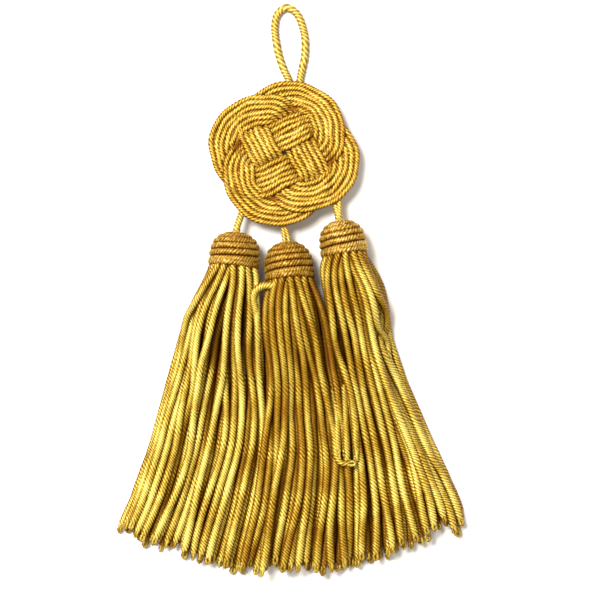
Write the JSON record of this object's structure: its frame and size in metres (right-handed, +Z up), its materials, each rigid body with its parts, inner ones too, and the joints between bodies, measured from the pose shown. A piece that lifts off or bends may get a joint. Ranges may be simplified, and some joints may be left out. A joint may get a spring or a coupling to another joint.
{
  "type": "silk tassel",
  "caption": "Knotted rosette with a hanging loop and bullion-fringe tassels on short cords, lying on its back; trims a key, a curtain or a cushion.",
  "frame": {"origin": "on the surface that the tassel lies on, at the middle of its outline", "axes": "+X to the tassel's right as seen from above, +Y from the fringe's tips towards the hanging loop, +Z up out of the surface"},
  "size_m": [0.1406, 0.2278, 0.0206],
  "materials": {
    "gold_cord": "silky twisted gold rayon cord",
    "gold_knot": "silky twisted gold rayon cord, woven flat",
    "gold_winding": "wound gold rayon cord, a shade browner",
    "gold_fringe": "glossy twisted gold rayon bullion strands"
  },
  "bodies": {
    "root": {"hanging_loop": "gold_cord", "rosette_knot": "gold_knot", "hanger_left": "gold_cord", "hanger_centre": "gold_cord", "hanger_right": "gold_cord", "head_left": "gold_winding", "head_centre": "gold_winding", "head_right": "gold_winding", "skirt_left": "gold_fringe", "skirt_centre": "gold_fringe", "skirt_right": "gold_fringe"}
  },
  "joints": []
}
